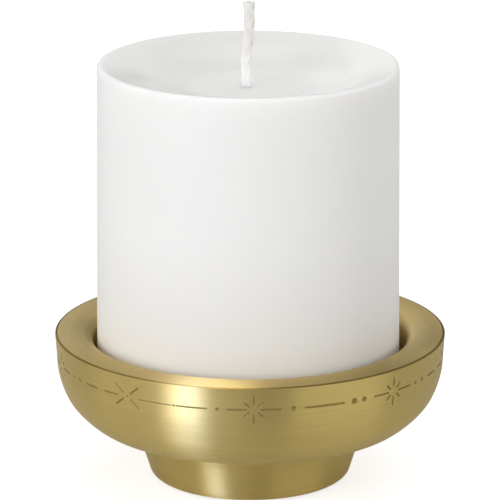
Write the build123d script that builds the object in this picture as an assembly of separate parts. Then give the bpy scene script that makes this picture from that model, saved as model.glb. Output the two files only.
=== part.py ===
from build123d import *
import os
from math import asin, cos, degrees, radians, sin, tan

# A footed brass candle holder with a pillar candle standing in it. Millimetres, +Z up, and the origin
# is on the table under the middle of the foot. The holder is three turned or drawn sheet pieces, a foot,
# a bowl and a cup, nested on one axis and clamped by one screw from below. The candle lifts out.

# Candle: it stands a little to one side of its recess, as loosely placed candles do
candle_height = 80.0
candle_top_radius = 34.0
candle_base_radius = 34.6
candle_top_round = 0.9
candle_base_round = 2.0
candle_offset = -0.4

# Hollow in the top of the candle: a raised edge, then a slope down to a flat floor
edge_width = 6.0
edge_fall = 0.5
hollow_depth = 5.3
hollow_slope = 29.0
hollow_round = 25.0

# Wick, and the metal sustainer that holds its lower end
wick_radius = 1.2
wick_above_candle = 14.2
wick_sway = 0.3
wick_clearance = 0.05
sustainer_radius = 9.0
sustainer_sheet = 0.4
sustainer_neck_height = 5.0
sustainer_neck_wall = 0.8
sustainer_clearance = 0.15
sustainer_inset = 0.2

# Bowl: the ring runs from the recess to the rim, and the floor ends a little inside the recess wall
rim_height = 34.3
ring_width = 8.6
floor_inset = 0.4
bowl_wall = 1.6
wall_taper = 3.7
underside_turn = 61.6
underside_round = 1.0
rim_lip = 0.3
rim_round = 0.15

# Cup: a flat ring at the top, a rounded lip, and the recess that the candle stands in
cup_sheet = 1.3
candle_clearance = 1.3
cup_round = 2.5
lip_round = 2.4
seam = 0.1

# Foot
foot_height = 13.7
foot_sheet = 1.2
foot_taper = 17.6
foot_base_radius = 22.55
foot_base_round = 2.1
foot_flange = 4.0
foot_cove = 3.0

# Felt ring, let into the underside of the foot
felt_thickness = 1.0
felt_stand = 0.4
felt_margin = 0.4
foot_bead = 2.5

# Clamp: a threaded post under the cup, and a screw with its washer in a pocket of the foot
post_radius = 5.0
post_gap = 0.5
post_clearance = 0.15
screw_radius = 2.0
screw_length = 10.0
screw_head_radius = 3.8
screw_head_height = 2.2
screw_head_round = 1.4
screw_key = 2.5
screw_key_depth = 1.3
thread_clearance = 0.05
screw_hole_clearance = 0.15
thread_run_out = 1.0
washer_radius = 4.5
washer_thickness = 0.8
pocket_clearance = 0.3
pocket_draft = 0.2
pocket_spare = 0.6

# Heights and radii that follow
cup_base = foot_height + bowl_wall
candle_base = cup_base + cup_sheet
candle_top = candle_base + candle_height
cup_bore = candle_base_radius + candle_clearance
rim_radius = cup_bore + ring_width
ring_radius = rim_radius - rim_lip - seam
hollow_radius = candle_top_radius - edge_width
hollow_floor = candle_top - hollow_depth
foot_base = felt_stand
felt_seat = felt_thickness
seat_step = felt_seat - foot_base
seat_radius = foot_base_radius - foot_bead - seat_step
pocket_roof = felt_seat + pocket_spare + screw_head_height + washer_thickness
pocket_radius = washer_radius + pocket_clearance
pocket_mouth = pocket_radius + pocket_draft
post_base = pocket_roof + foot_sheet + post_gap


def turned(outline):
    """Solid turned about Z from a closed outline of corners (radius, height, rounding)."""
    corners = [(radius, height) for radius, height, rounding in outline]
    roundings = [rounding for radius, height, rounding in outline]
    edge = FilletPolyline(*corners, radius=roundings, close=True)
    return revolve(Plane.XZ * make_face(edge), Axis.Z)


def drum(radius, bottom, top):
    """Plain cylinder on the axis between two heights."""
    return Pos(0, 0, bottom) * Cylinder(radius, top - bottom, align=(Align.CENTER, Align.CENTER, Align.MIN))


def bowl_space(inset, edge_round):
    """Space inside the bowl's outer surface, set in by a wall: tapered wall, round corner and flat floor.

    The corner is tangent to the wall and turns through underside_turn to meet the floor at its edge.
    """
    tilt = radians(wall_taper)
    turned_under = radians(underside_turn)
    reach = rim_radius - (cup_bore - floor_inset) - (rim_height - foot_height) * tan(tilt)
    bowl_round = reach / (cos(tilt) - cos(turned_under) - (sin(turned_under) - sin(tilt)) * tan(tilt))
    round_radius = bowl_round - inset
    floor = foot_height + inset
    centre_height = foot_height + bowl_round * sin(turned_under)
    straight = (rim_height - centre_height + bowl_round * sin(tilt)) / cos(tilt)
    top = (rim_radius - inset / cos(tilt), rim_height)
    bend_radius = rim_radius - straight * sin(tilt) - inset * cos(tilt)
    bend = (bend_radius, centre_height - round_radius * sin(tilt))
    turn = degrees(asin((centre_height - floor) / round_radius)) - wall_taper
    wall = Line(top, bend)
    corner = JernArc(bend, (-sin(tilt), -cos(tilt)), round_radius, -turn)
    rest = Polyline(corner @ 1, (0, floor), (0, rim_height), top)
    solid = revolve(Plane.XZ * make_face([wall, corner, rest]), Axis.Z)
    if edge_round:
        floor_edge = solid.faces().sort_by(Axis.Z)[0].edges()
        solid = fillet(floor_edge, edge_round)
    return solid


def make_outer_bowl():
    """Spun shell with a seat round the rim for the cup's ring and a hole for the clamp post."""
    shell = bowl_space(0, underside_round)
    outer_edge = shell.faces().sort_by(Axis.Z)[-1].edges()
    shell = fillet(outer_edge, rim_round)
    shell -= bowl_space(bowl_wall, 0)
    shell -= drum(rim_radius - rim_lip, rim_height - cup_sheet, rim_height)
    shell -= drum(post_radius + post_clearance, foot_height, cup_base)
    return shell


def make_candle_cup():
    """Drawn sheet cup: ring flush with the rim, rounded lip, straight recess wall and flat floor."""
    return turned([
        (0, candle_base, 0),
        (cup_bore, candle_base, cup_round),
        (cup_bore, rim_height, lip_round),
        (ring_radius, rim_height, rim_round),
        (ring_radius, rim_height - cup_sheet, 0),
        (cup_bore + cup_sheet, rim_height - cup_sheet, lip_round - cup_sheet),
        (cup_bore + cup_sheet, cup_base, cup_round + cup_sheet),
        (0, cup_base, 0),
    ])


def make_foot():
    """Drawn pan with a flange under the bowl, a rounded base, a seat for the felt and a screw pocket."""
    lean = tan(radians(foot_taper))
    across = foot_sheet / cos(radians(foot_taper))
    flange_base = foot_height - foot_sheet
    wall_top = foot_base_radius + (flange_base - foot_base) * lean
    inner_top = foot_base_radius + (foot_height - foot_base) * lean - across
    inner_base = foot_base_radius + foot_sheet * lean - across
    return turned([
        (wall_top + foot_flange, foot_height, 0),
        (wall_top + foot_flange, flange_base, 0),
        (wall_top, flange_base, foot_cove),
        (foot_base_radius, foot_base, foot_base_round),
        (seat_radius + seat_step, foot_base, 0),
        (seat_radius, felt_seat, 0),
        (pocket_mouth, felt_seat, 0),
        (pocket_radius, pocket_roof, 0),
        (screw_radius + screw_hole_clearance, pocket_roof, 0),
        (screw_radius + screw_hole_clearance, pocket_roof + foot_sheet, 0),
        (pocket_radius + foot_sheet, pocket_roof + foot_sheet, 0),
        (pocket_mouth + foot_sheet, felt_seat + foot_sheet, 0),
        (seat_radius, felt_seat + foot_sheet, 0),
        (seat_radius + seat_step, foot_base + foot_sheet, 0),
        (inner_base, foot_base + foot_sheet, foot_base_round - foot_sheet),
        (inner_top, foot_height, foot_cove + foot_sheet),
    ])


def make_felt_ring():
    """Felt glued into the seat under the foot. Its lower face is what stands on the table."""
    ring = drum(seat_radius - felt_margin, 0, felt_thickness)
    return ring - drum(pocket_mouth + felt_margin, 0, felt_thickness)


def make_clamp_post():
    """Round post brazed under the cup's floor, through the bowl, with a blind threaded hole."""
    hole_top = pocket_roof - washer_thickness + screw_length + thread_run_out
    post = drum(post_radius, post_base, cup_base)
    return post - drum(screw_radius + thread_clearance, post_base, hole_top)


def make_clamp_washer():
    """Flat washer under the screw's head."""
    washer = drum(washer_radius, pocket_roof - washer_thickness, pocket_roof)
    return washer - drum(screw_radius + screw_hole_clearance, pocket_roof - washer_thickness, pocket_roof)


def make_clamp_screw():
    """Button-head screw with a hexagon socket, driven up into the post."""
    head_top = pocket_roof - washer_thickness
    head_base = head_top - screw_head_height
    screw = turned([
        (0, head_base, 0),
        (screw_head_radius, head_base, screw_head_round),
        (screw_head_radius, head_top, 0),
        (screw_radius, head_top, 0),
        (screw_radius, head_top + screw_length, 0),
        (0, head_top + screw_length, 0),
    ])
    socket = RegularPolygon(screw_key / 2, 6, major_radius=False)
    return screw - Pos(0, 0, head_base) * extrude(socket, screw_key_depth)


def make_candle_wax():
    """Wax body, a little wider at its base, with a hollow top, the wick's hole and the sustainer's seat."""
    hole = wick_radius + wick_clearance
    neck_hole = hole + sustainer_neck_wall + sustainer_clearance
    disc_top = candle_base + sustainer_inset + sustainer_sheet
    neck_top = disc_top + sustainer_neck_height
    slope_run = (hollow_depth - edge_fall) / tan(radians(hollow_slope))
    return turned([
        (sustainer_radius + sustainer_clearance, candle_base, 0),
        (candle_base_radius, candle_base, candle_base_round),
        (candle_top_radius, candle_top, candle_top_round),
        (hollow_radius, candle_top - edge_fall, 0),
        (hollow_radius - slope_run, hollow_floor, hollow_round),
        (hole, hollow_floor, 0),
        (hole, neck_top + sustainer_clearance, 0),
        (neck_hole, neck_top + sustainer_clearance, 0),
        (neck_hole, disc_top + sustainer_clearance, 0),
        (sustainer_radius + sustainer_clearance, disc_top + sustainer_clearance, 0),
    ])


def make_wick_sustainer():
    """Stamped disc with a neck crimped round the wick, let into the base of the wax."""
    hole = wick_radius + wick_clearance
    disc_base = candle_base + sustainer_inset
    disc_top = disc_base + sustainer_sheet
    neck = hole + sustainer_neck_wall
    return turned([
        (hole, disc_base, 0),
        (sustainer_radius, disc_base, 0),
        (sustainer_radius, disc_top, 0),
        (neck, disc_top, 0),
        (neck, disc_top + sustainer_neck_height, 0),
        (hole, disc_top + sustainer_neck_height, 0),
    ])


def make_wick():
    """Wick from the sustainer to its cut tip: straight in the wax, then a slight double bend above it."""
    free_length = wick_above_candle + hollow_depth
    points = [
        Vector(0, 0, candle_base + sustainer_inset),
        Vector(0, 0, hollow_floor + wick_clearance),
        Vector(-wick_sway, 0, hollow_floor + 0.3 * free_length),
        Vector(wick_sway, 0, hollow_floor + 0.7 * free_length),
        Vector(0, 0, candle_top + wick_above_candle),
    ]
    radii = []
    for before, corner, after in zip(points, points[1:], points[2:]):
        turn = radians((corner - before).get_angle(after - corner))
        shorter = min((corner - before).length, (after - corner).length)
        radii.append(0.45 * shorter / tan(turn / 2))
    path = FilletPolyline(*points, radius=radii)
    return sweep(Pos(points[0]) * Circle(wick_radius), path)


candle_place = Pos(candle_offset, 0, 0)

nodes = {
    "outer_bowl": make_outer_bowl(),
    "candle_cup": make_candle_cup(),
    "foot": make_foot(),
    "felt_ring": make_felt_ring(),
    "clamp_post": make_clamp_post(),
    "clamp_washer": make_clamp_washer(),
    "clamp_screw": make_clamp_screw(),
    "candle_wax": candle_place * make_candle_wax(),
    "wick_sustainer": candle_place * make_wick_sustainer(),
    "wick": candle_place * make_wick(),
}

os.makedirs("parts", exist_ok=True)
for name, solid in nodes.items():
    export_step(solid, f"parts/{name}.step")
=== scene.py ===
import bmesh
import bpy
import math
import random
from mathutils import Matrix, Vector


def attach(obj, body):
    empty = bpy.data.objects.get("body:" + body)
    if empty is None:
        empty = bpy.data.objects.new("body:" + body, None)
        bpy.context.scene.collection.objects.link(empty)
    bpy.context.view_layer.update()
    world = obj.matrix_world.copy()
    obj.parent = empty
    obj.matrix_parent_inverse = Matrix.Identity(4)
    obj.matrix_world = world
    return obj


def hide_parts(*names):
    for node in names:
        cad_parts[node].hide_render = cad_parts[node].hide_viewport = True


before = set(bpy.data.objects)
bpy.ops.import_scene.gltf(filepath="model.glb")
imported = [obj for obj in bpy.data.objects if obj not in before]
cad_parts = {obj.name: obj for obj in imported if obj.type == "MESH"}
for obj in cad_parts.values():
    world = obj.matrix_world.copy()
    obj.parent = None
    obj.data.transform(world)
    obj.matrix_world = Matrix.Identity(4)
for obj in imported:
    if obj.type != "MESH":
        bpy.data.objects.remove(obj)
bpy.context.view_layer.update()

# Foot: a pan drawn from brass sheet, tapered down to a rounded base, with a flange under the bowl.
# It is finished on a lathe with a fine abrasive, so every scratch runs round it.
# One screw from below clamps it to the bowl and the cup.
MILLIMETRE = 0.001
STEPS_ROUND = 320
MERGE_DISTANCE = 0.002
SHARP_EDGE = math.radians(28)


def turned_mesh(outline, arc_steps=6):
    """Shell turned about the upright axis.

    The closed outline lists its corners as (radius, height, rounding), in millimetres.
    """
    shell = bmesh.new()
    points = [Vector((radius, 0, height)) for radius, height, rounding in outline]
    corners = [shell.verts.new(point) for point in points]
    for here, there in zip(corners, corners[1:] + corners[:1]):
        if here.co.x or there.co.x:
            shell.edges.new((here, there))
    for i, (radius, height, rounding) in enumerate(outline):
        if rounding:
            before = points[i - 1] - points[i]
            after = points[(i + 1) % len(points)] - points[i]
            half_turn = (math.pi - before.angle(after)) / 2
            bmesh.ops.bevel(shell, geom=[corners[i]], offset=rounding * math.tan(half_turn),
                            offset_type="OFFSET", segments=arc_steps, profile=0.5,
                            affect="VERTICES", material=-1)
    bmesh.ops.remove_doubles(shell, verts=shell.verts, dist=MERGE_DISTANCE)
    bmesh.ops.spin(shell, geom=shell.verts[:] + shell.edges[:], cent=(0, 0, 0), axis=(0, 0, 1),
                   angle=2 * math.pi, steps=STEPS_ROUND, use_merge=True)
    bmesh.ops.remove_doubles(shell, verts=shell.verts, dist=MERGE_DISTANCE)
    bmesh.ops.recalc_face_normals(shell, faces=shell.faces)
    bmesh.ops.scale(shell, vec=(MILLIMETRE,) * 3, verts=shell.verts)
    return shell


def finished_piece(name, shape, *finishes):
    """Object from a finished shape with its finishes, smooth except over its sharp edges."""
    mesh = bpy.data.meshes.new(name)
    shape.to_mesh(mesh)
    shape.free()
    for finish in finishes:
        mesh.materials.append(finish)
    mesh.shade_smooth()
    mesh.set_sharp_from_angle(angle=SHARP_EDGE)
    piece = bpy.data.objects.new(name, mesh)
    bpy.context.collection.objects.link(piece)
    return piece


def connect(tree, node, inputs):
    """Sets a node's inputs. Each is a plain value or another node's output."""
    for name, value in inputs.items():
        if isinstance(value, bpy.types.NodeSocket):
            tree.links.new(value, node.inputs[name])
        else:
            node.inputs[name].default_value = value


def shader_step(tree, kind, inputs, **settings):
    """One shader node with its inputs and settings."""
    node = tree.nodes.new("ShaderNode" + kind)
    for name, value in settings.items():
        setattr(node, name, value)
    connect(tree, node, inputs)
    return node


def object_place(tree):
    """Place on the piece, in metres."""
    return shader_step(tree, "TexCoord", {}).outputs["Object"]


def split(tree, vector):
    """The three parts of a vector, by name."""
    return shader_step(tree, "SeparateXYZ", {0: vector}).outputs


def worked(tree, operation, first, second):
    """Two values worked into one."""
    return shader_step(tree, "Math", {0: first, 1: second}, operation=operation).outputs[0]


def graded(tree, value, start, end, first, last, **settings):
    """Value that runs from first to last while another runs from start to end."""
    span = {"Value": value, 1: start, 2: end, 3: first, 4: last}
    return shader_step(tree, "MapRange", span, **settings).outputs[0]


def mixed(tree, share, first, second):
    """Colour between two others. Each is a plain colour or another node's output."""
    plain = [colour if isinstance(colour, bpy.types.NodeSocket) else (*colour, 1) for colour in (first, second)]
    return shader_step(tree, "Mix", {0: share, 6: plain[0], 7: plain[1]}, data_type="RGBA").outputs[2]


def noise(tree, place, scale, detail, roughness=0.5):
    """Soft noise over a place."""
    inputs = {"Vector": place, "Scale": scale, "Detail": detail, "Roughness": roughness}
    return shader_step(tree, "TexNoise", inputs).outputs["Fac"]


def bumped(tree, height, strength, distance):
    """Surface facing tilted by a small relief, its distance in metres."""
    inputs = {"Height": height, "Strength": strength, "Distance": distance}
    return shader_step(tree, "Bump", inputs).outputs[0]


def new_finish(name):
    """New node material, with its tree and its surface shader."""
    finish = bpy.data.materials.new(name)
    finish.use_nodes = True
    return finish, finish.node_tree, finish.node_tree.nodes["Principled BSDF"]


def lathe_lines(tree, per_millimetre, strokes_round, detail):
    """Noise drawn out round the axis, so that it reads as fine lines left by the lathe."""
    parts = split(tree, object_place(tree))
    level = shader_step(tree, "CombineXYZ", {0: parts["X"], 1: parts["Y"], 2: 0.0}).outputs[0]
    reach = shader_step(tree, "VectorMath", {0: level}, operation="LENGTH").outputs["Value"]
    heading = shader_step(tree, "VectorMath", {0: level}, operation="NORMALIZE").outputs["Vector"]
    stretched = {0: heading, "Scale": strokes_round}
    along = shader_step(tree, "VectorMath", stretched, operation="SCALE").outputs["Vector"]
    down = worked(tree, "ADD", reach, parts["Z"])
    across = worked(tree, "MULTIPLY", down, per_millimetre / MILLIMETRE)
    lift = shader_step(tree, "CombineXYZ", {0: 0.0, 1: 0.0, 2: across}).outputs[0]
    route = shader_step(tree, "VectorMath", {0: along, 1: lift}, operation="ADD").outputs["Vector"]
    return noise(tree, route, 1.0, detail, roughness=0.6)


def brushed_brass(name, bright, dull, smoothest, roughest, scratch, drawn, lacquer):
    """Brass brushed round the axis.

    Drawn is how far its gloss spreads across the brushing, and lacquer is its clear coat.
    """
    finish, tree, shader = new_finish(name)
    fine = lathe_lines(tree, 9.0, 5.0, 3.0)
    broad = lathe_lines(tree, 2.2, 2.4, 2.0)
    tone = graded(tree, broad, 0.3, 0.7, 0.0, 1.0)
    connect(tree, shader, {
        "Base Color": mixed(tree, tone, dull, bright),
        "Roughness": graded(tree, fine, 0.25, 0.75, smoothest, roughest),
        "Normal": bumped(tree, worked(tree, "ADD", fine, broad), scratch, 0.03 * MILLIMETRE),
        "Tangent": shader_step(tree, "Tangent", {}, direction_type="RADIAL", axis="Z").outputs[0],
        "Metallic": 1.0,
        "Anisotropic": drawn,
        "Anisotropic Rotation": 0.25,
        "Coat Weight": lacquer,
        "Coat Roughness": 0.25,
        "Specular Tint": (0.97, 0.92, 0.78, 1),
    })
    return finish


BRASS = (0.825, 0.635, 0.22)
DULL_BRASS = (0.765, 0.585, 0.195)
BRUSHING = {"smoothest": 0.36, "roughest": 0.46, "scratch": 0.3, "drawn": 0.97, "lacquer": 0.3}
brass_finish = brushed_brass("brushed_brass", BRASS, DULL_BRASS, **BRUSHING)

FOOT_HEIGHT = 13.7
FOOT_BASE = 0.4
FOOT_BASE_RADIUS = 22.55
FOOT_BASE_ROUND = 2.1
FOOT_SHEET = 1.2
FOOT_TAPER = math.radians(17.6)
FOOT_FLANGE = 4.0
FOOT_COVE = 3.0
BEAD_RADIUS = 20.05
FELT_SEAT = 1.0
FELT_SEAT_RADIUS = 19.45
POCKET_MOUTH = 5.0
POCKET_RADIUS = 4.8
POCKET_ROOF = 4.6
SCREW_HOLE = 2.15
foot_lean = math.tan(FOOT_TAPER)
foot_across = FOOT_SHEET / math.cos(FOOT_TAPER)
flange_base = FOOT_HEIGHT - FOOT_SHEET
foot_wall_top = FOOT_BASE_RADIUS + (flange_base - FOOT_BASE) * foot_lean
foot_inner_top = FOOT_BASE_RADIUS + (FOOT_HEIGHT - FOOT_BASE) * foot_lean - foot_across
foot_inner_base = FOOT_BASE_RADIUS + FOOT_SHEET * foot_lean - foot_across
foot = finished_piece("foot_pan", turned_mesh([
    (foot_wall_top + FOOT_FLANGE, FOOT_HEIGHT, 0.1),
    (foot_wall_top + FOOT_FLANGE, flange_base, 0.2),
    (foot_wall_top, flange_base, FOOT_COVE),
    (FOOT_BASE_RADIUS, FOOT_BASE, FOOT_BASE_ROUND),
    (BEAD_RADIUS, FOOT_BASE, 0.2),
    (FELT_SEAT_RADIUS, FELT_SEAT, 0),
    (POCKET_MOUTH, FELT_SEAT, 0.3),
    (POCKET_RADIUS, POCKET_ROOF, 0),
    (SCREW_HOLE, POCKET_ROOF, 0),
    (SCREW_HOLE, POCKET_ROOF + FOOT_SHEET, 0),
    (POCKET_RADIUS + FOOT_SHEET, POCKET_ROOF + FOOT_SHEET, 0.6),
    (POCKET_MOUTH + FOOT_SHEET, FELT_SEAT + FOOT_SHEET, 0.6),
    (FELT_SEAT_RADIUS, FELT_SEAT + FOOT_SHEET, 0),
    (BEAD_RADIUS, FOOT_BASE + FOOT_SHEET, 0),
    (foot_inner_base, FOOT_BASE + FOOT_SHEET, FOOT_BASE_ROUND - FOOT_SHEET),
    (foot_inner_top, FOOT_HEIGHT, FOOT_COVE + FOOT_SHEET),
]), brass_finish)
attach(foot, "holder")
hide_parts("foot")

# Outer bowl: a shell spun from brass sheet over a former, with a tapered wall, a round corner and a flat floor.
# A row of small stars, dashes and dots is engraved round the wall, three repeats in all.
# Its thin lip is bevelled and burnished darker, and the underside, which the brush reaches less, is smoother.
RIM_RADIUS = 44.5
RIM_HEIGHT = 34.3
LIP_RADIUS = 44.2
LIP_BEVEL = 0.28
RING_SEAT = 33.0
BOWL_WALL = 1.6
WALL_TAPER = math.radians(3.7)
CORNER_RADIUS = 16.329
CORNER_CENTRE = (27.734, 28.064)
CORNER_END = math.radians(60.7)
INNER_CORNER_END = math.radians(59.4)
FLOOR_EDGE = 35.504
INNER_FLOOR_EDGE = 35.0
POST_HOLE = 5.15


def corner_points(radius, end):
    """Outline corners whose roundings together make the bowl's round corner, from the wall down."""
    quarter = (end - WALL_TAPER) / 4
    spoke = radius / math.cos(quarter)
    centre, level = CORNER_CENTRE
    turns = [WALL_TAPER + quarter, WALL_TAPER + 3 * quarter]
    return [(centre + spoke * math.cos(turn), level - spoke * math.sin(turn), radius) for turn in turns]


def wall_radius(height):
    """Outer radius of the bowl at a height above the round corner's lower end."""
    centre, level = CORNER_CENTRE
    if height > level - CORNER_RADIUS * math.sin(WALL_TAPER):
        return RIM_RADIUS - (RIM_HEIGHT - height) * math.tan(WALL_TAPER)
    return centre + math.sqrt(CORNER_RADIUS ** 2 - (height - level) ** 2)


inner_wall_top = RIM_RADIUS - BOWL_WALL - (RIM_HEIGHT - RING_SEAT) * math.tan(WALL_TAPER)
bevel_base = RIM_HEIGHT - LIP_BEVEL
bowl_floor = FOOT_HEIGHT + BOWL_WALL
bowl_shape = turned_mesh([
    (wall_radius(bevel_base), bevel_base, 0.08),
    *corner_points(CORNER_RADIUS, CORNER_END),
    (FLOOR_EDGE, FOOT_HEIGHT, 1.0),
    (POST_HOLE, FOOT_HEIGHT, 0),
    (POST_HOLE, bowl_floor, 0),
    (INNER_FLOOR_EDGE, bowl_floor, 0.5),
    *reversed(corner_points(CORNER_RADIUS - BOWL_WALL, INNER_CORNER_END)),
    (inner_wall_top, RING_SEAT, 0),
    (LIP_RADIUS, RING_SEAT, 0),
    (LIP_RADIUS, RIM_HEIGHT, 0.04),
], arc_steps=12)
WALL_FACES, CUT_FACES, LIP_FACES = 0, 1, 2
for face in bowl_shape.faces:
    if face.calc_center_median().z > bevel_base * MILLIMETRE:
        face.material_index = LIP_FACES

ENGRAVED_HEIGHT = 29.2
WALL_DEGREE = 0.771
REPEATS = 3
FIRST_STAR = 1.1
STROKE = (0.25, 0.14)
SLIM_STROKE = (0.2, 0.12)
FINE_STROKE = (0.15, 0.09)
DOT_DEPTH = 0.16
BAR_STEP = 1.6
CROSS_RISE = 0.2
engraving = bmesh.new()
stroke_mesh = bpy.data.meshes.new("stroke")


def engrave(middle, start, end, stroke):
    """Rounded bar laid on the wall for one stroke, from start to end (degrees round, millimetres up)."""
    half_width, depth = stroke
    nose = (half_width ** 2 + depth ** 2) / (2 * depth)
    run = Vector(((end[0] - start[0]) * WALL_DEGREE, end[1] - start[1]))
    stem = max(run.length - 2 * half_width, 0.0)
    slant = math.atan2(run.y, run.x)
    bar = bmesh.new()
    sides = 12 if stem else 24
    bmesh.ops.create_uvsphere(bar, u_segments=sides, v_segments=sides * 2 // 3, radius=nose)
    for vert in bar.verts:
        if abs(vert.co.z) > nose / 20:
            vert.co.z += math.copysign(stem / 2, vert.co.z)
    lengthwise = [edge for edge in bar.edges if edge.calc_length() > BAR_STEP / 2]
    if lengthwise:
        cuts = max(1, round(stem / BAR_STEP))
        bmesh.ops.subdivide_edges(bar, edges=lengthwise, cuts=cuts, use_grid_fill=True)
    for vert in bar.verts:
        across, out, along = vert.co
        round_by = along * math.cos(slant) - across * math.sin(slant)
        up_by = along * math.sin(slant) + across * math.cos(slant)
        turn = math.radians(middle + (start[0] + end[0]) / 2 + round_by / WALL_DEGREE)
        height = ENGRAVED_HEIGHT + (start[1] + end[1]) / 2 + up_by
        radius = wall_radius(height) + nose - depth + out
        vert.co = (radius * math.sin(turn), -radius * math.cos(turn), height)
    bar.to_mesh(stroke_mesh)
    bar.free()
    engraving.from_mesh(stroke_mesh)


def engrave_dot(middle, degrees, up, radius):
    """Round punch mark."""
    engrave(middle, (degrees, up), (degrees, up), (radius, DOT_DEPTH))


def engrave_star(middle):
    """Star of eight rays that stop short of its middle, with the level pair drawn out longest."""
    for side in (-1, 1):
        engrave(middle, (0, side * 1.1), (0, side * 3.37), STROKE)
        engrave(middle, (side * 1.8, 0), (side * 7.85, 0), STROKE)
        for up in (-1, 1):
            engrave(middle, (side * 1.2, up * 0.6), (side * 2.85, up * 1.75), STROKE)


def engrave_cross(middle):
    """Cross of four slanting rays round a small dot."""
    for side in (-1, 1):
        for up in (-1, 1):
            inner = (side * 1.15, CROSS_RISE + up * 0.6)
            outer = (side * 4.3, CROSS_RISE + up * 2.5)
            engrave(middle, inner, outer, STROKE)
    engrave_dot(middle, 0, CROSS_RISE, 0.26)


for repeat in range(REPEATS):
    star = FIRST_STAR + 360 / REPEATS * repeat
    engrave(star, (-48.3, 0), (-42.4, 0), STROKE)
    engrave_cross(star - 39.1)
    engrave(star, (-34.8, 0), (-24.0, 0), FINE_STROKE)
    engrave_dot(star, -23.4, 0, 0.3)
    engrave(star, (-22.8, 0), (-13.3, 0), SLIM_STROKE)
    engrave_dot(star, -10.5, 0, 0.42)
    engrave_star(star)
    engrave_dot(star, 11.5, 0, 0.57)
    engrave(star, (14.6, 0), (27.1, 0), STROKE)
    engrave_dot(star, 30.3, 0, 0.76)
    engrave_dot(star, 33.7, 0, 0.64)
    engrave_star(star + 45.0)
    engrave_dot(star, 55.6, 0, 0.4)
    engrave_dot(star, 59.4, 0, 0.5)
    engrave(star, (63.1, 0), (69.0, 0), STROKE)
bmesh.ops.recalc_face_normals(engraving, faces=engraving.faces)
bmesh.ops.scale(engraving, vec=(MILLIMETRE,) * 3, verts=engraving.verts)
for face in engraving.faces:
    face.material_index = CUT_FACES

UNDERSIDE_BASE = 14.0
UNDERSIDE_TOP = 20.0
UNDERSIDE_GLOSS = 0.14
wall_finish = brushed_brass("spun_brass", BRASS, DULL_BRASS, **BRUSHING)
wall_tree = wall_finish.node_tree
wall_rough = wall_tree.nodes["Principled BSDF"].inputs["Roughness"]
wall_height = split(wall_tree, object_place(wall_tree))["Z"]
wall_gloss = graded(wall_tree, wall_height, UNDERSIDE_BASE * MILLIMETRE, UNDERSIDE_TOP * MILLIMETRE,
                    UNDERSIDE_GLOSS, 0.0)
wall_grain = worked(wall_tree, "SUBTRACT", wall_rough.links[0].from_socket, wall_gloss)
wall_tree.links.new(wall_grain, wall_rough)

CUT_BRASS = (0.46, 0.33, 0.1)
DEEP_CUT_BRASS = (0.36, 0.25, 0.07)
cut_finish, cut_tree, cut_shader = new_finish("engraved_brass")
cut_grain = noise(cut_tree, object_place(cut_tree), 5000.0, 2.0)
connect(cut_tree, cut_shader, {
    "Base Color": mixed(cut_tree, cut_grain, DEEP_CUT_BRASS, CUT_BRASS),
    "Metallic": 1.0,
    "Roughness": 0.66,
})
LIP_BRASS = (0.48, 0.33, 0.09)
DULL_LIP_BRASS = (0.42, 0.285, 0.075)
edge_finish = brushed_brass("burnished_edge", LIP_BRASS, DULL_LIP_BRASS,
                            smoothest=0.28, roughest=0.34, scratch=0.1, drawn=0.0, lacquer=0.0)

bowl = finished_piece("engraved_bowl", bowl_shape, wall_finish, cut_finish, edge_finish)
graver = finished_piece("graver", engraving, wall_finish, cut_finish, edge_finish)
cutting = bowl.modifiers.new("engraving", "BOOLEAN")
cutting.operation = "DIFFERENCE"
cutting.solver = "MANIFOLD"
cutting.object = graver
bpy.context.view_layer.update()
engraved = bpy.data.meshes.new_from_object(bowl.evaluated_get(bpy.context.evaluated_depsgraph_get()))
bowl.modifiers.clear()
bowl.data = engraved
bpy.data.objects.remove(graver)

# The cuts split the wall into uneven faces, so its facings are set to those of the plain cone that it is.
CUT_EDGE = math.radians(20)
engraved.set_sharp_from_angle(angle=CUT_EDGE)
facings = [corner.vector.copy() for corner in engraved.corner_normals]
for face in engraved.polygons:
    for corner in face.loop_indices:
        place = engraved.vertices[engraved.loops[corner].vertex_index].co / MILLIMETRE
        on_straight = place.z > CORNER_CENTRE[1] and place.xy.length > LIP_RADIUS - BOWL_WALL / 2
        if face.material_index == WALL_FACES and on_straight:
            outward = place.xy.normalized() * math.cos(WALL_TAPER)
            facings[corner] = Vector((*outward, -math.sin(WALL_TAPER)))
engraved.normals_split_custom_set(facings)
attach(bowl, "holder")
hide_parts("outer_bowl")

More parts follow.
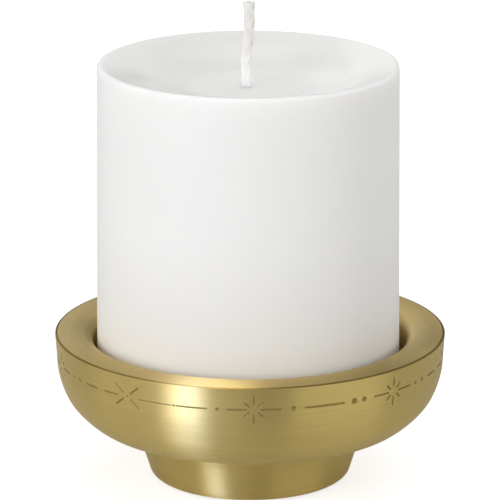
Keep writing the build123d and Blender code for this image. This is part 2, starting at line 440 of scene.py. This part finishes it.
# Candle cup: one piece of drawn brass sheet, a gently crowned ring, a rounded lip and the round recess.
# The ring has a satin finish. It drops into the seat in the bowl's rim, and a hairline seam shows between them.
CUP_BORE = 35.9
CUP_FLOOR = 16.6
CUP_ROUND = 2.5
CUP_SHEET = 1.3
LIP_ROUND = 2.4
RING_RADIUS = 44.02
RING_CREST = 40.2
RING_RISE = 0.2
RING_FALL = 0.4
RING_EDGE_FALL = 0.03
RING_CROWN = 12.0
SATIN_BRASS = (0.675, 0.512, 0.21)
DULL_SATIN_BRASS = (0.625, 0.472, 0.188)
ring_finish = brushed_brass("satin_brass", SATIN_BRASS, DULL_SATIN_BRASS,
                            smoothest=0.36, roughest=0.42, scratch=0.15, drawn=0.95, lacquer=0.1)
cup = finished_piece("candle_cup_ring", turned_mesh([
    (0, CUP_FLOOR, 0),
    (CUP_BORE, CUP_FLOOR, CUP_ROUND),
    (CUP_BORE, RIM_HEIGHT - RING_FALL, LIP_ROUND),
    (RING_CREST, RIM_HEIGHT + RING_RISE, RING_CROWN),
    (RING_RADIUS, RIM_HEIGHT - RING_EDGE_FALL, 0.08),
    (RING_RADIUS, RING_SEAT, 0),
    (CUP_BORE + CUP_SHEET, RING_SEAT, LIP_ROUND - CUP_SHEET),
    (CUP_BORE + CUP_SHEET, CUP_FLOOR - CUP_SHEET, CUP_ROUND + CUP_SHEET),
    (0, CUP_FLOOR - CUP_SHEET, 0),
], arc_steps=10), ring_finish)
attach(cup, "holder")
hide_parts("candle_cup")

# Clamp: a brass post brazed under the cup, and a zinc-plated steel screw with its washer.
# The screw stands in a pocket of the foot and draws the foot, the bowl and the cup together.
# Only its head shows, from below.


def plated_steel(name, tint, roughness, spangle):
    """Bright plated steel with the soft clouding of its plating."""
    finish, tree, shader = new_finish(name)
    cloud = noise(tree, object_place(tree), spangle, 3.0)
    dark = tuple(0.8 * part for part in tint)
    connect(tree, shader, {
        "Base Color": mixed(tree, cloud, dark, tint),
        "Roughness": graded(tree, cloud, 0.3, 0.7, roughness - 0.06, roughness + 0.06),
        "Metallic": 1.0,
    })
    return finish


def refinish(node, finish):
    """Gives a CAD node that stays as it is its own finish."""
    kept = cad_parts[node]
    if not kept.material_slots:
        kept.data.materials.append(finish)
    for place in kept.material_slots:
        place.material = finish


refinish("clamp_post", brass_finish)
zinc_finish = plated_steel("zinc_steel", (0.62, 0.63, 0.62), roughness=0.32, spangle=900.0)
refinish("clamp_washer", zinc_finish)
refinish("clamp_screw", zinc_finish)

# Felt ring: pressed wool felt, punched out and glued into the underside of the foot, so that it stands softly.
# Its lower face, with a little loose nap, is what rests on the table.
FELT_OUTER = 19.05
FELT_INNER = 5.4
FELT_THICKNESS = 1.0
FELT_RINGS = (7, 8.5, 10, 11.5, 13, 14.5, 16, 17.5)
FELT_NAP = 0.06
felt_shape = turned_mesh([
    (FELT_OUTER, FELT_THICKNESS, 0.1),
    (FELT_INNER, FELT_THICKNESS, 0.1),
    (FELT_INNER, 0.0, 0.25),
    *[(radius, 0.0, 0) for radius in FELT_RINGS],
    (FELT_OUTER, 0.0, 0.25),
])
fibres = random.Random(7)
for vert in felt_shape.verts:
    if vert.co.z < 0.2 * MILLIMETRE:
        vert.co.z += fibres.uniform(0.0, FELT_NAP * MILLIMETRE)
FELT_DARK = (0.03, 0.024, 0.018)
FELT_LIGHT = (0.075, 0.06, 0.046)
felt_finish, felt_tree, felt_shader = new_finish("wool_felt")
felt_place = object_place(felt_tree)
felt_mat = noise(felt_tree, felt_place, 2600.0, 4.0)
felt_cloud = noise(felt_tree, felt_place, 300.0, 3.0)
felt_tone = graded(felt_tree, worked(felt_tree, "MULTIPLY", felt_mat, felt_cloud), 0.12, 0.42, 0.0, 1.0)
connect(felt_tree, felt_shader, {
    "Base Color": mixed(felt_tree, felt_tone, FELT_DARK, FELT_LIGHT),
    "Normal": bumped(felt_tree, felt_mat, 0.8, 0.2 * MILLIMETRE),
    "Roughness": 0.95,
    "Sheen Weight": 0.35,
})
felt = finished_piece("felt_pad", felt_shape, felt_finish)
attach(felt, "holder")
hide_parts("felt_ring")

# Candle: a pillar poured in a mould, of hard white wax that lets light a little way in.
# It shrank as it set, so a soft shoulder falls to a glossy hollow, and its base is a little wider than its top.
# The wall is duller than the hollow, and shade is painted into the wax: it is coloured darker towards its base,
# where the pillar stands in the cup.
CANDLE_BASE = 16.6
CANDLE_TOP = 96.6
CANDLE_BASE_RADIUS = 34.6
CANDLE_BASE_ROUND = 2.0
CANDLE_TOP_RADIUS = 34.0
CANDLE_TOP_ROUND = 0.9
CANDLE_OFFSET = -0.4
SHOULDER_RISE = 0.2
SHOULDER_RADIUS = 25.5
SHOULDER_FALL = 1.7
SHOULDER_ROUND = 22.0
HOLLOW_FLOOR = 91.3
HOLLOW_RADIUS = 17.8
HOLLOW_ROUND = 25.0
WICK_HOLE = 1.25
WICK_GRIP = 0.6
WICK_GRIP_DEPTH = 1.0
SUSTAINER_SEAT = 9.15
SUSTAINER_SEAT_TOP = 17.35
NECK_SEAT = 2.2
NECK_SEAT_TOP = 22.35
wax_shape = turned_mesh([
    (SUSTAINER_SEAT, CANDLE_BASE, 0.3),
    (CANDLE_BASE_RADIUS, CANDLE_BASE, CANDLE_BASE_ROUND),
    (CANDLE_TOP_RADIUS, CANDLE_TOP + SHOULDER_RISE, CANDLE_TOP_ROUND),
    (SHOULDER_RADIUS, CANDLE_TOP - SHOULDER_FALL, SHOULDER_ROUND),
    (HOLLOW_RADIUS, HOLLOW_FLOOR, HOLLOW_ROUND),
    (WICK_GRIP, HOLLOW_FLOOR, 0),
    (WICK_GRIP, HOLLOW_FLOOR - WICK_GRIP_DEPTH, 0),
    (WICK_HOLE, HOLLOW_FLOOR - WICK_GRIP_DEPTH, 0),
    (WICK_HOLE, NECK_SEAT_TOP, 0),
    (NECK_SEAT, NECK_SEAT_TOP, 0),
    (NECK_SEAT, SUSTAINER_SEAT_TOP, 0),
    (SUSTAINER_SEAT, SUSTAINER_SEAT_TOP, 0),
], arc_steps=10)
bmesh.ops.translate(wax_shape, vec=(CANDLE_OFFSET * MILLIMETRE, 0, 0), verts=wax_shape.verts)

WAX_DARK = (0.865, 0.86, 0.838)
WAX_LIGHT = (0.89, 0.885, 0.866)
# Painted shade: the darker wax colour that the base of the pillar is blended towards.
WAX_PAINTED_SHADE = (0.81, 0.797, 0.766)
PAINTED_SHADE_BASE = 36.0
PAINTED_SHADE_TOP = 62.0
HOLLOW_GLOSS = 0.2
WALL_DULLNESS = 0.6
GLOSS_EDGE = 32.9
DULL_EDGE = 33.6
LIGHT_SPREAD = (1.0, 0.95, 0.85)
wax_finish, wax_tree, wax_shader = new_finish("white_wax")
wax_place = object_place(wax_tree)
wax_cloud = noise(wax_tree, wax_place, 60.0, 3.0)
wax_skin = noise(wax_tree, wax_place, 900.0, 2.0)
wax_height = split(wax_tree, wax_place)["Z"]
# Painted shade: the wax colour darkens from the top of this band down to the base of the pillar.
wax_painted_shade = graded(wax_tree, wax_height, PAINTED_SHADE_BASE * MILLIMETRE, PAINTED_SHADE_TOP * MILLIMETRE, 1.0, 0.0)
wax_flat = {0: wax_place, 1: (1, 1, 0)}
wax_level = shader_step(wax_tree, "VectorMath", wax_flat, operation="MULTIPLY").outputs["Vector"]
wax_reach = shader_step(wax_tree, "VectorMath", {0: wax_level}, operation="LENGTH").outputs["Value"]
connect(wax_tree, wax_shader, {
    "Base Color": mixed(wax_tree, wax_painted_shade, mixed(wax_tree, wax_cloud, WAX_DARK, WAX_LIGHT), WAX_PAINTED_SHADE),
    "Normal": bumped(wax_tree, wax_skin, 0.05, 0.1 * MILLIMETRE),
    "Roughness": graded(wax_tree, wax_reach, GLOSS_EDGE * MILLIMETRE, DULL_EDGE * MILLIMETRE,
                        HOLLOW_GLOSS, WALL_DULLNESS),
    "Subsurface Weight": 1.0,
    "Subsurface Radius": LIGHT_SPREAD,
    "Subsurface Scale": 3.0 * MILLIMETRE,
    "IOR": 1.44,
})
wax = finished_piece("wax_pillar", wax_shape, wax_finish)
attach(wax, "candle")
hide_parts("candle_wax")

# Wick: eight cotton strands plaited round a core and soaked in wax, so that one skin of it joins them.
# It is cut off above the candle, leans a little, and turns white towards its foot, where wax has crept up it.
# Its lower end is crimped in the neck of a tinplate disc, let into the base of the wax.
WICK_BASE = 16.8
WICK_TIP = 110.72
WICK_LEAN = 0.45
WICK_SWAY = 0.25
UPRIGHT_AT = 0.78
STRANDS = 8
STRAND_RADIUS = 0.42
PLAIT_RADIUS = 0.85
PLAIT_PITCH = 17.0
PLAIT_STEP = 0.45
PLAIT_WEAVE = 0.13
CORE_RADIUS = 1.14
CORE_CUT = 0.2
STRAND_CUT = 0.3
WAX_GRAIN = 0.14
wick_curve = bpy.data.curves.new("plaited_wick", "CURVE")
wick_curve.dimensions = "3D"
wick_curve.bevel_depth = MILLIMETRE
wick_curve.bevel_resolution = 2
wick_curve.use_fill_caps = True


def wick_line(top, reach, thickness, way, start_turn):
    """One line of the wick up to its cut, winding one way at a reach from the middle.

    The wick is slimmest in the wax, full above it and a little frayed towards its cut.
    """
    count = round((top - WICK_BASE) / PLAIT_STEP)
    line = wick_curve.splines.new("POLY")
    line.points.add(count)
    for i, point in enumerate(line.points):
        height = WICK_BASE + (top - WICK_BASE) * i / count
        free = max(0.0, (height - HOLLOW_FLOOR) / (WICK_TIP - HOLLOW_FLOOR))
        swell = 0.9 + 0.1 * min(1.0, free / 0.3) + 0.1 * max(0.0, (free - 0.65) / 0.35)
        winding = 2 * math.pi * height / PLAIT_PITCH
        turn = way * winding + start_turn
        weave = 1 + PLAIT_WEAVE * way * math.cos(winding * STRANDS / 2)
        sway = WICK_LEAN * (free - UPRIGHT_AT) - WICK_SWAY * math.sin(2 * math.pi * free)
        x = CANDLE_OFFSET + sway + reach * weave * swell * math.cos(turn)
        y = reach * weave * swell * math.sin(turn)
        point.co = (x * MILLIMETRE, y * MILLIMETRE, height * MILLIMETRE, 1)
        point.radius = thickness * swell


cut_end = random.Random(3)
wick_line(WICK_TIP - CORE_CUT, 0.0, CORE_RADIUS, 1, 0.0)
for strand in range(STRANDS):
    start_turn = 2 * math.pi * (strand // 2) / (STRANDS // 2) + (math.pi / STRANDS if strand % 2 else 0)
    strand_top = WICK_TIP - cut_end.uniform(0.0, STRAND_CUT)
    wick_line(strand_top, PLAIT_RADIUS, STRAND_RADIUS, 1 if strand % 2 else -1, start_turn)
wick_draft = bpy.data.objects.new("wick_draft", wick_curve)
bpy.context.collection.objects.link(wick_draft)
bpy.context.view_layer.update()
wick_mesh = bpy.data.meshes.new_from_object(wick_draft.evaluated_get(bpy.context.evaluated_depsgraph_get()))
bpy.data.objects.remove(wick_draft)
wick_shape = bmesh.new()
wick_shape.from_mesh(wick_mesh)
bmesh.ops.remove_doubles(wick_shape, verts=wick_shape.verts, dist=MILLIMETRE / 1000)
bmesh.ops.recalc_face_normals(wick_shape, faces=wick_shape.faces)

COTTON_DARK = (0.72, 0.705, 0.67)
COTTON_LIGHT = (0.78, 0.765, 0.735)
SOAKED_COTTON = (0.95, 0.945, 0.92)
SOAKED_FROM = 100.5
SOAKED_TO = 93.0
FIBRES = (7000, 7000, 1200)
cotton_finish, cotton_tree, cotton_shader = new_finish("waxed_cotton")
cotton_place = object_place(cotton_tree)
cotton_drawn = shader_step(cotton_tree, "Mapping", {"Vector": cotton_place, "Scale": FIBRES}).outputs[0]
cotton_fibre = noise(cotton_tree, cotton_drawn, 1.0, 3.0)
cotton_colour = mixed(cotton_tree, cotton_fibre, COTTON_DARK, COTTON_LIGHT)
cotton_height = split(cotton_tree, cotton_place)["Z"]
soaked_share = graded(cotton_tree, cotton_height, SOAKED_FROM * MILLIMETRE, SOAKED_TO * MILLIMETRE, 0.0, 1.0)
connect(cotton_tree, cotton_shader, {
    "Base Color": mixed(cotton_tree, soaked_share, cotton_colour, SOAKED_COTTON),
    "Normal": bumped(cotton_tree, cotton_fibre, 0.3, 0.08 * MILLIMETRE),
    "Roughness": 0.6,
    "Subsurface Weight": 1.0,
    "Subsurface Radius": LIGHT_SPREAD,
    "Subsurface Scale": 1.2 * MILLIMETRE,
})
wick = finished_piece("plaited_wick", wick_shape, cotton_finish)
soaking = wick.modifiers.new("wax_between_strands", "REMESH")
soaking.mode = "VOXEL"
soaking.voxel_size = WAX_GRAIN * MILLIMETRE
soaking.use_smooth_shade = True
bpy.context.view_layer.update()
soaked = bpy.data.meshes.new_from_object(wick.evaluated_get(bpy.context.evaluated_depsgraph_get()))
wick.modifiers.clear()
wick.data = soaked
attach(wick, "candle")
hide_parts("wick")
refinish("wick_sustainer", plated_steel("tinplate", (0.66, 0.65, 0.62), roughness=0.28, spangle=500.0))

# Table and studio: a pale sweep in a white room, which shows white to the camera and keeps a soft shadow.
# What the metal mirrors is graded from a light left wall to a darker right one, as in the photographed studio.
# Seven soft lamps: four that light the object, and three for single reflections.
TABLE_HALF = 3.0
TABLE_WHITENESS = 0.72
table_shape = bmesh.new()
bmesh.ops.create_grid(table_shape, x_segments=1, y_segments=1, size=TABLE_HALF)
table_finish, table_tree, table_shader = new_finish("pale_table")
connect(table_tree, table_shader, {
    "Base Color": (0.5, 0.5, 0.5, 1),
    "Roughness": 0.9,
    "Specular IOR Level": 0.1,
})
table_ray = shader_step(table_tree, "LightPath", {}).outputs
table_seen = worked(table_tree, "MULTIPLY", table_ray["Is Camera Ray"], TABLE_WHITENESS)
table_x = split(table_tree, object_place(table_tree))["X"]
# Painted light and shade: in reflections only, the table glows brighter on its left than on its right.
table_painted_light_side = graded(table_tree, table_x, -0.03, 0.05, 0.11, 0.05)
table_painted_reflection = worked(table_tree, "MULTIPLY", table_ray["Is Glossy Ray"], table_painted_light_side)
table_glow = worked(table_tree, "ADD", table_seen, table_painted_reflection)
glow = shader_step(table_tree, "Emission", {"Color": (1, 1, 1, 1), "Strength": table_glow}).outputs[0]
lit = shader_step(table_tree, "AddShader", {0: table_shader.outputs[0], 1: glow}).outputs[0]
table_tree.links.new(lit, table_tree.nodes["Material Output"].inputs["Surface"])
table = finished_piece("table_sweep", table_shape, table_finish)

ROOM_LIGHT = 0.6
ROOM_WHITENESS = 1.0
world = bpy.data.worlds.new("studio")
world.use_nodes = True
bpy.context.scene.world = world
sky = world.node_tree
sky_ray = shader_step(sky, "LightPath", {}).outputs
heading = split(sky, shader_step(sky, "TexCoord", {}).outputs["Generated"])
left_to_right = graded(sky, heading["X"], -0.1, 0.035, 1.12, 0.28, interpolation_type="SMOOTHSTEP")
far_left = graded(sky, heading["X"], -0.5, -0.2, 0.29, 1.0)
far_right = graded(sky, heading["X"], 0.3, 1.0, 1.0, 1.5)
sideways = worked(sky, "MULTIPLY", left_to_right, worked(sky, "MULTIPLY", far_left, far_right))
camera_side = graded(sky, heading["Y"], -0.9, 0.1, 0.5, 1.0)
ceiling = graded(sky, heading["X"], -0.6, 0.0, 0.9, 0.45)
overhead = graded(sky, heading["Z"], 0.35, 0.7, 1.0, ceiling)
low_walls = worked(sky, "MULTIPLY", worked(sky, "MULTIPLY", sideways, camera_side), overhead)
straight_back = graded(sky, heading["Y"], 0.6, 0.9, 0.0, 1.0)
above_rim = graded(sky, heading["Z"], 0.05, 0.25, 0.0, straight_back)
high_walls = graded(sky, heading["X"], -0.1, 0.05, 0.78, 0.25)


def chosen(share, first, second):
    """Brightness between two others."""
    return shader_step(sky, "Mix", {0: share, 2: first, 3: second}, data_type="FLOAT").outputs[0]


mirrored_walls = chosen(above_rim, low_walls, high_walls)
around = chosen(sky_ray["Is Glossy Ray"], ROOM_LIGHT, mirrored_walls)
brightness = chosen(sky_ray["Is Camera Ray"], around, ROOM_WHITENESS)
connect(sky, sky.nodes["Background"], {"Color": (1, 1, 1, 1), "Strength": brightness})

LAMP_AIM = Vector((0, 0, 0.05))


def softbox(name, azimuth, elevation, distance, width, height, power):
    """Soft lamp aimed at the candle. Azimuth 0 is the camera's side and turns towards the right."""
    turn = math.radians(azimuth)
    rise = math.radians(elevation)
    away = Vector((math.sin(turn) * math.cos(rise), -math.cos(turn) * math.cos(rise), math.sin(rise)))
    lamp = bpy.data.lights.new(name, "AREA")
    lamp.shape = "RECTANGLE"
    lamp.size = width
    lamp.size_y = height
    lamp.energy = power
    box = bpy.data.objects.new(name, lamp)
    box.location = LAMP_AIM + away * distance
    box.rotation_euler = away.to_track_quat("Z", "Y").to_euler()
    bpy.context.collection.objects.link(box)
    return box


softbox("key_light", azimuth=-38, elevation=13, distance=1.0, width=0.36, height=0.6, power=3.95)
softbox("left_light", azimuth=-76, elevation=20, distance=1.2, width=1.1, height=0.7, power=1.42)
softbox("right_light", azimuth=54, elevation=20, distance=1.1, width=1.2, height=0.5, power=2.8)
back_light = softbox("back_light", azimuth=145, elevation=50, distance=0.8, width=0.6, height=0.6, power=1.2)
back_light.visible_glossy = False

# These three are seen only in reflections: the strip whitens the streak on the brass, the top lamp shows in the
# ring, and the small panel behind shows in the hollow of the wax.
STRIP_BLUE = (0.085, 0.22, 1.0)
strip_light = softbox("strip_light", azimuth=-37, elevation=21.5, distance=0.98, width=0.24, height=0.55,
                      power=6.4)
strip_light.data.color = STRIP_BLUE
top_light = softbox("top_light", azimuth=-90, elevation=80, distance=0.8, width=0.3, height=0.3, power=3.0)
hollow_light = softbox("hollow_light", azimuth=163, elevation=27.5, distance=0.29, width=0.24, height=0.085,
                       power=0.03)
for mirrored_lamp in (strip_light, top_light, hollow_light):
    mirrored_lamp.visible_diffuse = False

# Camera: the photograph's view, a little under sixteen degrees above the table, from nearly a metre away.
# Its place and lens come from the outlines of the turned body in the photograph.
CAMERA_DISTANCE = 0.9508
CAMERA_PITCH = math.radians(15.83)
CAMERA_AIM = 0.05305
LENS = 301.3
SENSOR = 36.0
lens = bpy.data.cameras.new("camera")
lens.sensor_width = SENSOR
lens.lens = LENS
camera = bpy.data.objects.new("camera", lens)
camera_height = CAMERA_AIM + CAMERA_DISTANCE * math.sin(CAMERA_PITCH)
camera.location = (0, -CAMERA_DISTANCE * math.cos(CAMERA_PITCH), camera_height)
camera.rotation_euler = (math.pi / 2 - CAMERA_PITCH, 0, 0)
bpy.context.collection.objects.link(camera)
bpy.context.scene.camera = camera
bpy.context.scene.view_settings.view_transform = "Standard"
